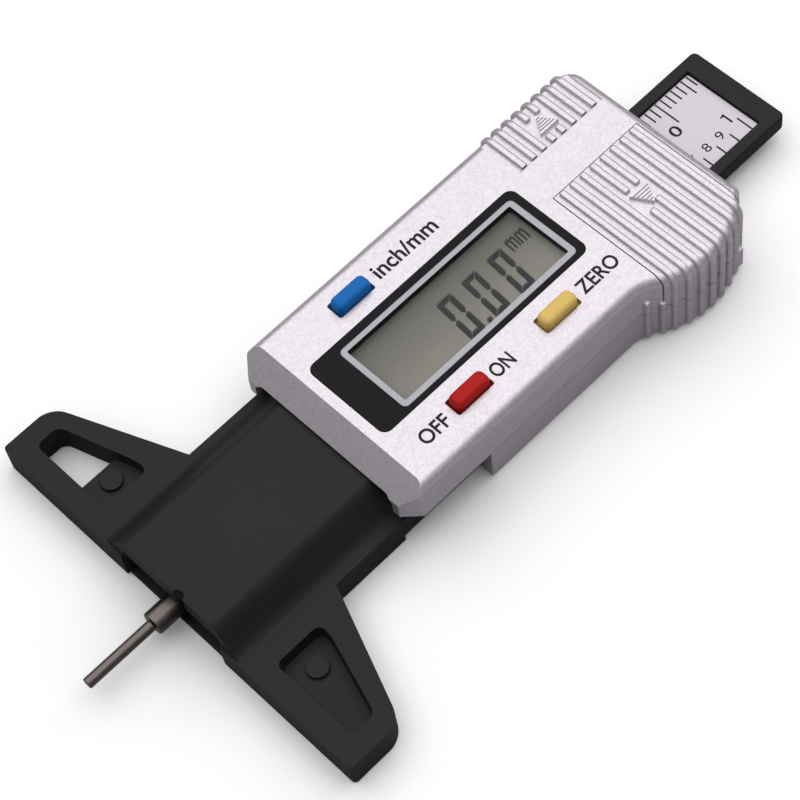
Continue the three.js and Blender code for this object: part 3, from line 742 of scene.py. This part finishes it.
rim = rounded_slab("window_rim", (*RIM[0], 11.0), (*RIM[1], HOUSING_TOP + 0.04), 0.75)
soften(rim, 0.1, sharper_than=60, segments=2)
combine(rim, rounded_slab("opening", (*OPENING[0], 9), (*OPENING[1], 14), 0.2, 2), "DIFFERENCE")
settle(rim, silver_ink, "slider", "window_silver", "window_border")
rim.data.materials.append(gloss_black)
for face in rim.data.polygons:
    across, along = face.center.y * 1000, (face.center.x - FACE_X) * 1000
    inner = (
        OPENING[0][0] - 0.05 < along < OPENING[1][0] + 0.05
        and OPENING[0][1] - 0.05 < across < OPENING[1][1] + 0.05
    )
    face.material_index = 1 if inner and abs(face.normal.z) < 0.5 else 0

# Clear acrylic: no colour of its own, only its reflection shows.
acrylic, tree, shader, place = new_material("clear_acrylic")
wipe = node(tree, "ShaderNodeTexNoise", Vector=place, Scale=1 / 0.009, Detail=3.0)
clear = node(tree, "ShaderNodeMapRange", Value=wipe.outputs["Fac"], To_Min=0.05, To_Max=0.09)
tree.links.new(clear.outputs["Result"], shader.inputs["Alpha"])
shader.inputs["Base Color"].default_value = linear("#151716")
shader.inputs["Roughness"].default_value = 0.04
shader.inputs["IOR"].default_value = 1.49
pane_low = (OPENING[0][0] + 0.05, OPENING[0][1] + 0.05, 11.45)
pane = slab("window_pane", pane_low, (OPENING[1][0] - 0.05, 5.1, 11.75))
soften(pane, 0.05, sharper_than=60, segments=1)
settle(pane, acrylic, "slider", "window_clear", "window_lens")

# ------------------------------------------------------------------ liquid crystal display
# A reflective twisted-nematic display: grey-green polariser over two glasses. The dark segments throw
# a faint shadow on the reflector under them, because they lie a glass's thickness above it.
LCD_TOP = 10.85
STROKE = 0.7
MITRE_GAP = 0.07
DIGIT_HIGH = 6.75
DIGIT_WIDE = 2.45
DIGIT_PLACES = [48.95, 53.35, 57.8]
DIGIT_FOOT = -4.5
SLANT = 0.077

polariser, tree, shader, place = new_material("lcd_polariser")
axes = node(tree, "ShaderNodeSeparateXYZ", Vector=place)
# Painted shadow: the display's colour is made darker towards its +Y edge, standing in for the shadow of the
# frame over it. The film's fine mottle is added over that.
painted_frame_shadow = node(tree, "ShaderNodeMapRange", Value=axes.outputs["Y"], From_Min=-0.006, From_Max=0.0062)
film = node(tree, "ShaderNodeTexNoise", Vector=place, Scale=1 / 0.0002, Detail=2.0)
mixed = node(
    tree, "ShaderNodeMath", {"operation": "MULTIPLY_ADD"},
    _0=film.outputs["Fac"], _1=0.16, _2=painted_frame_shadow.outputs["Result"],
)
tint = node(tree, "ShaderNodeValToRGB", Fac=mixed.outputs["Value"])
tint.color_ramp.elements[0].color = linear("#9f9c93")
tint.color_ramp.elements[1].color = linear("#6a6862")
tree.links.new(tint.outputs["Color"], shader.inputs["Base Color"])
shader.inputs["Roughness"].default_value = 0.5
shader.inputs["Specular IOR Level"].default_value = 0.2

panel = slab("lcd_panel", (35.3, -6.2, 10.0), (65.1, 6.3, LCD_TOP))
soften(panel, 0.1, sharper_than=60, segments=2)
settle(panel, polariser, "slider", "lcd", "lcd_glass")


def printed(name, dark, light, roughness):
    """Screen-printed ink, or a display's segments: a thin matt layer that is not quite even."""
    material, tree, shader, place = new_material(name)
    patchy = node(tree, "ShaderNodeTexNoise", Vector=place, Scale=1 / 0.0004, Detail=3.0)
    tint = node(tree, "ShaderNodeValToRGB", Fac=patchy.outputs["Fac"])
    tint.color_ramp.elements[0].color = linear(dark)
    tint.color_ramp.elements[1].color = linear(light)
    tree.links.new(tint.outputs["Color"], shader.inputs["Base Color"])
    shader.inputs["Roughness"].default_value = roughness
    shader.inputs["Specular IOR Level"].default_value = 0.2
    return material


def segment(x, y, length, tall, leans):
    """One bar of a digit. Each end comes to a point: in the middle for a lean of 0, else at one side."""
    axis, half = (1, (STROKE / 2, length / 2)) if tall else (0, (length / 2, STROKE / 2))
    bar = slab("segment", (x - half[0], y - half[1], 0), (x + half[0], y + half[1], 0.02))
    for end, lean in zip((-1, 1), leans):
        point = [0, 0, 0]
        point[axis] = end * STROKE * (1 + abs(lean)) / 2
        tip = [x, y, 0]
        tip[1 - axis] += lean * STROKE / 2
        shape(
            bar, "FACE", lambda face: face.normal[axis] * end > 0.9,
            bpy.ops.mesh.extrude_region_move, TRANSFORM_OT_translate={"value": point},
        )
        shape(
            bar, "VERT", lambda corner: (corner.co[axis] - (x, y)[axis]) * end > length / 2 + 0.1,
            bpy.ops.transform.resize, value=(0.05, 1, 1) if tall else (1, 0.05, 1), center_override=tip,
        )
    return bar


def zero(x, foot):
    """The digit 0 of seven-segment figures, all bars but the middle one."""
    half = DIGIT_HIGH / 2
    reach = half - STROKE / 2
    bars = []
    for up in (1, -1):
        flat = DIGIT_WIDE - 2 * STROKE - 2 * MITRE_GAP
        bars.append(segment(x, foot + half + up * reach, flat, False, (up, up)))
        for side in (1, -1):
            leans = (0, side) if up > 0 else (side, 0)
            tall = half - 1.5 * STROKE - 2 * MITRE_GAP
            bars.append(segment(
                x + side * (DIGIT_WIDE - STROKE) / 2, foot + half + up * reach / 2, tall, True, leans
            ))
    return bars


def lettering(name, words, low, high, level, thickness=0.02, lean=0.0, weight=0.012):
    """Letters fitted between two corners, as a thin closed layer."""
    bpy.ops.object.select_all(action="DESELECT")
    bpy.ops.object.text_add()
    text = bpy.context.object
    text.data.body = words
    text.data.extrude = 0.01
    text.data.offset = weight
    text.data.shear = lean
    bpy.ops.object.convert(target="MESH")
    letters = bpy.context.object
    letters.name = name
    spot = [[corner.co[i] for corner in letters.data.vertices] for i in range(3)]
    size = [max(values) - min(values) for values in spot]
    wanted = [high[0] - low[0], high[1] - low[1], thickness]
    letters.scale = [want / have for want, have in zip(wanted, size)]
    letters.location = [
        base - min(values) * scale for base, values, scale in zip((*low, level), spot, letters.scale)
    ]
    bpy.ops.object.transform_apply(location=True, rotation=True, scale=True)
    shape(letters, "FACE", lambda face: True, bpy.ops.mesh.remove_doubles, threshold=0.0005)
    shape(letters, "FACE", lambda face: True, bpy.ops.mesh.normals_make_consistent)
    return letters


bars = [bar for x in DIGIT_PLACES for bar in zero(x, DIGIT_FOOT)]
bars.append(slab("point", (50.9, DIGIT_FOOT, 0), (51.55, DIGIT_FOOT + 0.65, 0.02)))
digits = join("lcd_digits", bars)
for corner in digits.data.vertices:
    corner.co.x += SLANT * (corner.co.y - DIGIT_FOOT)
    corner.co.z += LCD_TOP + 0.012
unit = lettering("lcd_unit", "mm", (60.4, 0.6), (63.5, 2.5), LCD_TOP + 0.012, lean=0.1, weight=0.0)
digits = join("lcd_digits", [digits, unit])
shadow = copy_of(digits, "lcd_digit_shadow")
shape(shadow, "VERT", lambda corner: True, bpy.ops.transform.translate, value=(0.16, 0.2, -0.011))
shape(shadow, "VERT", lambda corner: True, bpy.ops.transform.resize, value=(1, 1, 0.2),
      center_override=(0, 0, LCD_TOP))
settle(digits, printed("lcd_dark_segment", "#2f2f33", "#38383c", 0.5), "slider", "lcd")
settle(shadow, printed("lcd_segment_shadow", "#55544d", "#5b5a52", 0.5), "slider", "lcd")

# ------------------------------------------------------------------ buttons and their legends
# Three moulded caps, coloured right through, each on a flange that keeps it in. The legends beside
# them are dark grey screen print, a few hundredths of a millimetre thick.
CAP_TOP = 13.5


def moulded_cap(name, dark, light):
    """Soft-touch coloured plastic with the mould's fine matt grain, drawn at 0.3 mm so that it shows."""
    material, tree, shader, place = new_material(name)
    grain = node(tree, "ShaderNodeTexNoise", Vector=place, Scale=1 / 0.0003, Detail=3.0, Roughness=0.7)
    tint = node(tree, "ShaderNodeValToRGB", Fac=grain.outputs["Fac"])
    tint.color_ramp.elements[0].color = linear(dark)
    tint.color_ramp.elements[1].color = linear(light)
    relief = node(tree, "ShaderNodeBump", Height=grain.outputs["Fac"], Strength=0.5, Distance=0.00004)
    tree.links.new(tint.outputs["Color"], shader.inputs["Base Color"])
    tree.links.new(relief.outputs["Normal"], shader.inputs["Normal"])
    shader.inputs["Roughness"].default_value = 0.48
    shader.inputs["IOR"].default_value = 1.5
    shader.inputs["Specular IOR Level"].default_value = 0.14
    return material


cap = rounded_slab("button", (-2.8, -1.12, 10.6), (2.8, 1.12, CAP_TOP), 0.8, 5)
round_rim(cap, CAP_TOP, 0.7, 5)
combine(cap, slab("flange", (-3.7, -1.7, 10.55), (3.7, 1.7, 11.05)), "UNION")
cap_colours = {
    "blue": moulded_cap("blue_abs", "#0a5ca6", "#0f6bb9"),
    "red": moulded_cap("red_abs", "#a0120f", "#b41a16"),
    "yellow": moulded_cap("yellow_abs", "#d0ac58", "#debf70"),
}
for colour, (x, y) in BUTTON_PLACES.items():
    button = copy_of(cap, "button_cap_" + colour)
    shape(button, "VERT", lambda corner: True, bpy.ops.transform.translate, value=(x, y, 0))
    settle(button, cap_colours[colour], colour + "_button", "button_" + colour, "button_" + colour)
bpy.data.objects.remove(cap)

LEGENDS = {
    "inch/mm": ((46.0, 9.5), (56.4, 11.85)),
    "OFF": ((33.2, -11.4), (37.6, -9.3)),
    "ON": ((45.5, -11.2), (48.9, -9.1)),
    "ZERO": ((61.1, -10.9), (67.6, -8.8)),
}
dark_print = printed("dark_screen_print", "#141316", "#1f1e21", 0.55)
legends = [
    lettering("legend", words, low, high, HOUSING_TOP - 0.008, weight=0.02)
    for words, (low, high) in LEGENDS.items()
]
settle(join("legends", legends), dark_print, "slider", "black_plastic")

# ------------------------------------------------------------------ ruler
# The beam that the slider runs on is black ABS, screwed to the neck. A recess along it holds the copper
# scale that the read head senses, and over that a printed card with millimetres and tenths of an inch.
RULER_START, RULER_END, RULER_SIDE = 31.5, 101.8, 7.9
LABEL_START, LABEL_END, LABEL_SIDE = 45.0, 98.55, 6.1
LABEL_TOP = 4.28
ZERO_X = 72.09
INCH_TENTH = 2.54

beam = rounded_slab("ruler_moulding", (RULER_START, -RULER_SIDE, 2.1), (RULER_END, RULER_SIDE, 4.8), 0.8, 4)
soften(beam, 0.35, segments=3)
combine(beam, slab("recess", (33, -6.25, 3.9), (98.7, 6.25, 6)), "DIFFERENCE")
combine(beam, slab("rod_groove", (30, -1.1, 0), (90, 1.1, 3.65)), "DIFFERENCE")
combine(beam, pin("stop_hole", 0.95, (100.2, 0, 1), (100.2, 0, 3), 24), "DIFFERENCE")
for side in (1, -1):
    combine(beam, pin("screw_hole", 1.1, (37, 4.5 * side, 0), (37, 4.5 * side, 3.4), 24), "DIFFERENCE")
settle(beam, black_abs, "base", "black_plastic", "ruler_beam")

# Satin polyester film, off-white with a faint pink cast.
label_film, tree, shader, place = new_material("printed_polyester_film")
fibre = node(tree, "ShaderNodeTexNoise", Vector=place, Scale=1 / 0.0005, Detail=4.0)
tint = node(tree, "ShaderNodeValToRGB", Fac=fibre.outputs["Fac"])
tint.color_ramp.elements[0].color = linear("#c9c1c8")
tint.color_ramp.elements[1].color = linear("#d3cbd2")
tree.links.new(tint.outputs["Color"], shader.inputs["Base Color"])
shader.inputs["Roughness"].default_value = 0.5
card = rounded_slab(
    "scale_card", (LABEL_START, -LABEL_SIDE, 4.13), (LABEL_END, LABEL_SIDE, LABEL_TOP), 0.25, 3
)
settle(card, label_film, "base", "scale_label", "scale_label")

TICK = 0.24
INK_FOOT = LABEL_TOP - 0.01
INK_TOP = LABEL_TOP + 0.015
ticks = []
for n in range(27):
    length = 4.3 if n % 10 == 0 else 2.9 if n % 5 == 0 else 2.1
    x = ZERO_X + n
    ticks.append(slab(
        "tick", (x - TICK / 2, LABEL_SIDE - length, INK_FOOT), (x + TICK / 2, LABEL_SIDE - 0.05, INK_TOP)
    ))
for k in range(11):
    length = 2.7 if k % 10 == 0 else 1.7
    x = ZERO_X + INCH_TENTH * k
    ticks.append(slab(
        "tick", (x - TICK / 2, 0.05 - LABEL_SIDE, INK_FOOT), (x + TICK / 2, length - LABEL_SIDE, INK_TOP)
    ))
    if 0 < k < 10:
        ticks.append(lettering("tenth", str(k), (x - 1.5, -4.3), (x - 0.5, -2.9), INK_FOOT, weight=0.0))
ticks.append(slab("inch_one", (96.5, -3.4, INK_FOOT), (96.78, -1.6, INK_TOP)))
ticks.append(slab("inch_flag", (96.05, -1.95, INK_FOOT), (96.49, -1.7, INK_TOP)))
for n in (10, 20):
    x = ZERO_X + n
    ticks.append(lettering("ten", f"{n // 10} 0", (x - 4.7, 0.25), (x - 0.65, 2.05), INK_FOOT))
settle(join("scale_print", ticks), dark_print, "base", "scale_label")

# ------------------------------------------------------------------ needle and its holder
# Stainless steel, turned: a 1.5 mm needle pressed into a 3.2 mm holder, which slides in the neck.
NEEDLE_OUT = 13.6
NEEDLE_RADIUS = 0.75
HOLDER_RADIUS = 1.6


def turned_metal(name, dark, light, low, high):
    """Turned metal: fine rings round the axis, 0.15 mm apart, that draw the highlight out along it."""
    material, tree, shader, place = new_material(name)
    along_axis = node(tree, "ShaderNodeMapping", Vector=place, Scale=(1 / 0.00015, 1 / 0.004, 1 / 0.004))
    rings = node(tree, "ShaderNodeTexNoise", Vector=along_axis.outputs["Vector"], Scale=1.0, Detail=3.0)
    tint = node(tree, "ShaderNodeValToRGB", Fac=rings.outputs["Fac"])
    tint.color_ramp.elements[0].color = linear(dark)
    tint.color_ramp.elements[1].color = linear(light)
    rough = node(tree, "ShaderNodeMapRange", Value=rings.outputs["Fac"], To_Min=low, To_Max=high)
    relief = node(tree, "ShaderNodeBump", Height=rings.outputs["Fac"], Strength=0.3, Distance=0.00001)
    tree.links.new(tint.outputs["Color"], shader.inputs["Base Color"])
    tree.links.new(rough.outputs["Result"], shader.inputs["Roughness"])
    tree.links.new(relief.outputs["Normal"], shader.inputs["Normal"])
    shader.inputs["Metallic"].default_value = 1.0
    return material


stainless = turned_metal("turned_stainless_steel", "#5a5351", "#746c69", 0.24, 0.38)
needle = pin("needle_turned", NEEDLE_RADIUS, (-NEEDLE_OUT, 0, NEEDLE_LEVEL), (-3.15, 0, NEEDLE_LEVEL), 40)
soften(needle, 0.14, sharper_than=60, segments=2)
settle(needle, stainless, "slider", "steel", "needle")
holder = pin("needle_holder_turned", HOLDER_RADIUS, (-3.1, 0, NEEDLE_LEVEL), (17, 0, NEEDLE_LEVEL))
soften(holder, 0.18, sharper_than=60, segments=2)
settle(holder, stainless, "slider", "steel", "needle_holder")

# ------------------------------------------------------------------ foot's back plate and pegs
# A flat T of the same ABS closes the foot's back. Two moulded pegs come up through the pockets' floors.
plate = rounded_slab("foot_back_bar", (3.4, -19.8, 0), (9.9, 19.8, 0.9), 0.8, 4)
combine(plate, rounded_slab("stem", (6.0, -9, 0), (24.5, 9, 0.9), 0.8, 4), "UNION")
soften(plate, 0.15, sharper_than=60, segments=2)
settle(plate, black_abs, "base", "black_plastic", "foot_back_plate")

for side, node_name in ((1, "rivet_left"), (-1, "rivet_right")):
    x, y = 6.6, 18.5 * side
    peg = pin("peg_" + node_name[6:], 1.5, (x, y, 2.62), (x, y, 3.12), 40)
    shape(peg, "FACE", lambda face: face.normal.z > 0.9, bpy.ops.mesh.inset, thickness=0.55)
    shape(
        peg, "FACE", lambda face: face.normal.z > 0.9 and face.calc_area() > 2,
        bpy.ops.transform.translate, value=(0, 0, -0.1),
    )
    soften(peg, 0.15, sharper_than=50, segments=3)
    combine(peg, pin("shank", 0.9, (x, y, 0.95), (x, y, 2.8), 24), "UNION")
    settle(peg, black_abs, "base", "black_plastic", node_name)

# ------------------------------------------------------------------ back cover and its screws
# A thin black plate lies in the lower housing's back, with four self-tapping screws through it.
back = rounded_slab("back_cover_plate", (38.8, -12.6, 0), (83.65, 12.6, 0.8), 1.0, 5)
soften(back, 0.15, sharper_than=60, segments=2)
for x, y in COVER_SCREWS:
    combine(back, pin("hole", 1.75, (x, y, -1), (x, y, 2), 40), "DIFFERENCE")
settle(back, black_abs, "slider", "black_plastic", "back_cover")

zinc = turned_metal("zinc_plated_steel", "#9fa0a4", "#bcbdc2", 0.28, 0.42)
screw = pin("cover_screw", 1.5, (0, 0, 0.1), (0, 0, 0.8), 40)
soften(screw, 0.2, sharper_than=60, segments=3)
combine(screw, pin("shank", 0.85, (0, 0, 0.5), (0, 0, 3.7), 24), "UNION")
combine(screw, slab("slot", (-0.9, -0.17, 0), (0.9, 0.17, 0.55)), "DIFFERENCE")
combine(screw, slab("slot", (-0.17, -0.9, 0), (0.17, 0.9, 0.55)), "DIFFERENCE")
for i, (x, y) in enumerate(COVER_SCREWS, 1):
    fitted = copy_of(screw, f"cover_screw_zinc_{i}")
    shape(fitted, "VERT", lambda corner: True, bpy.ops.transform.translate, value=(x, y, 0))
    settle(fitted, zinc, "slider", "steel", f"cover_screw_{i}")
bpy.data.objects.remove(screw)

# ------------------------------------------------------------------ cell and what lies inside
# A silver-oxide button cell stands in the thumb grip between two sprung contacts. The boards, the
# membrane switches, the display's rubber connector, the push rod and its clamp are plain bought parts.
bright_steel = turned_metal("nickel_plated_steel", "#b5b5b8", "#d2d2d4", 0.18, 0.3)
brass = turned_metal("brass", "#a8863c", "#c9a557", 0.25, 0.4)
CELL = (77, -10.9)
cell = pin("button_cell", 5.8, (*CELL, 5.4), (*CELL, 10.4), 96)
soften(cell, 0.35, sharper_than=60, segments=4)
combine(cell, pin("cell_cap", 4.8, (*CELL, 5.0), (*CELL, 6.0), 96), "UNION")
shape(
    cell, "FACE", lambda face: face.normal.z > 0.9 and face.calc_area() > 20,
    bpy.ops.mesh.inset, thickness=0.9,
)
shape(
    cell, "FACE", lambda face: face.normal.z > 0.9 and face.calc_area() > 20,
    bpy.ops.transform.translate, value=(0, 0, -0.05),
)
settle(cell, bright_steel, "slider", "battery_steel", "battery")

# Green solder mask over copper tracks that run along the board, 0.6 mm apart.
solder_mask, tree, shader, place = new_material("green_solder_mask")
tracks = node(
    tree, "ShaderNodeTexBrick",
    Vector=node(tree, "ShaderNodeMapping", Vector=place, Scale=(1000, 1000, 1000)).outputs["Vector"],
    Scale=1.0, Mortar_Size=0.06, Brick_Width=5.0, Row_Height=0.6,
)
tracks.inputs["Color1"].default_value = linear("#1b5636")
tracks.inputs["Color2"].default_value = linear("#236b44")
tracks.inputs["Mortar"].default_value = linear("#123f27")
tree.links.new(tracks.outputs["Color"], shader.inputs["Base Color"])
shader.inputs["Roughness"].default_value = 0.35

# Silicone rubber with carbon-loaded layers: black and pale stripes 0.25 mm wide.
zebra, tree, shader, place = new_material("striped_silicone_rubber")
stripes = node(tree, "ShaderNodeTexWave", Vector=place, Scale=1 / 0.0016)
tint = node(tree, "ShaderNodeValToRGB", Fac=stripes.outputs["Fac"])
tint.color_ramp.elements[0].color = linear("#2c2c30")
tint.color_ramp.elements[1].color = linear("#b9a9a2")
tree.links.new(tint.outputs["Color"], shader.inputs["Base Color"])
shader.inputs["Roughness"].default_value = 0.7

INSIDE = {
    "sensor_strip": solder_mask,
    "main_board": solder_mask,
    "read_head_board": solder_mask,
    "board_link": black_abs,
    "lcd_connector": zebra,
    "switch_blue": bright_steel,
    "switch_red": bright_steel,
    "switch_yellow": bright_steel,
    "battery_contact_bottom": brass,
    "battery_contact_side": brass,
    "rod_clamp": brass,
    "gib_spring": bright_steel,
    "push_rod": stainless,
    "travel_stop_pin": stainless,
    "ruler_screw_1": zinc,
    "ruler_screw_2": zinc,
}
for name, material in INSIDE.items():
    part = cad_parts[name]
    part.data.materials.clear()
    part.data.materials.append(material)
